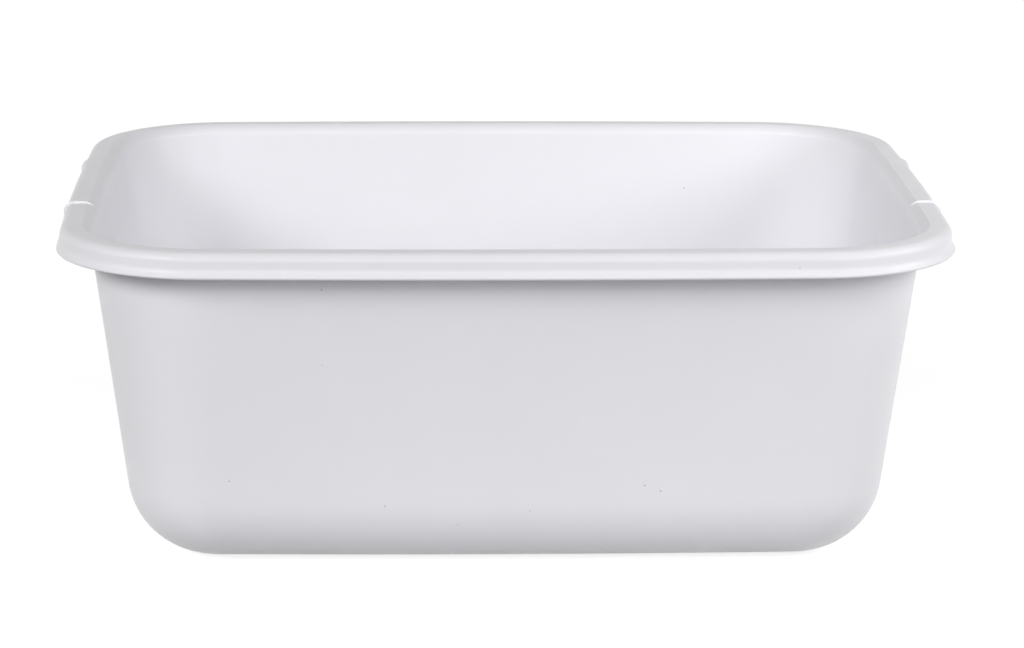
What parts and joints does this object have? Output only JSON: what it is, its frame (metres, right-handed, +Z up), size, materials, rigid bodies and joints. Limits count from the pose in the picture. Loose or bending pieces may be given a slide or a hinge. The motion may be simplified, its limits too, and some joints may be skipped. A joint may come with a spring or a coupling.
{
  "type": "washing up bowl",
  "caption": "Rectangular open washing-up bowl with leaning, gently bowed walls, rounded corners, a turned-down rim with a flared lip, and raised grip ribs at the ends.",
  "frame": {"origin": "middle of the underside, on the surface that the bowl stands on", "axes": "+Z up out of the open mouth, +X along the long side towards the right end as seen from the front, -Y towards the front"},
  "size_m": [0.3914, 0.319, 0.1486],
  "materials": {
    "white_moulding": "satin moulded polypropylene"
  },
  "bodies": {
    "root": {"floor_plate": "white_moulding", "right_bottom_edge": "white_moulding", "rear_bottom_edge": "white_moulding", "left_bottom_edge": "white_moulding", "front_bottom_edge": "white_moulding", "right_rear_bottom_corner": "white_moulding", "left_rear_bottom_corner": "white_moulding", "left_front_bottom_corner": "white_moulding", "right_front_bottom_corner": "white_moulding", "side_wall": "white_moulding", "rim_flange": "white_moulding", "rim_skirt": "white_moulding", "left_front_grip_rib": "white_moulding", "left_rear_grip_rib": "white_moulding", "right_front_grip_rib": "white_moulding", "right_rear_grip_rib": "white_moulding"}
  },
  "joints": []
}
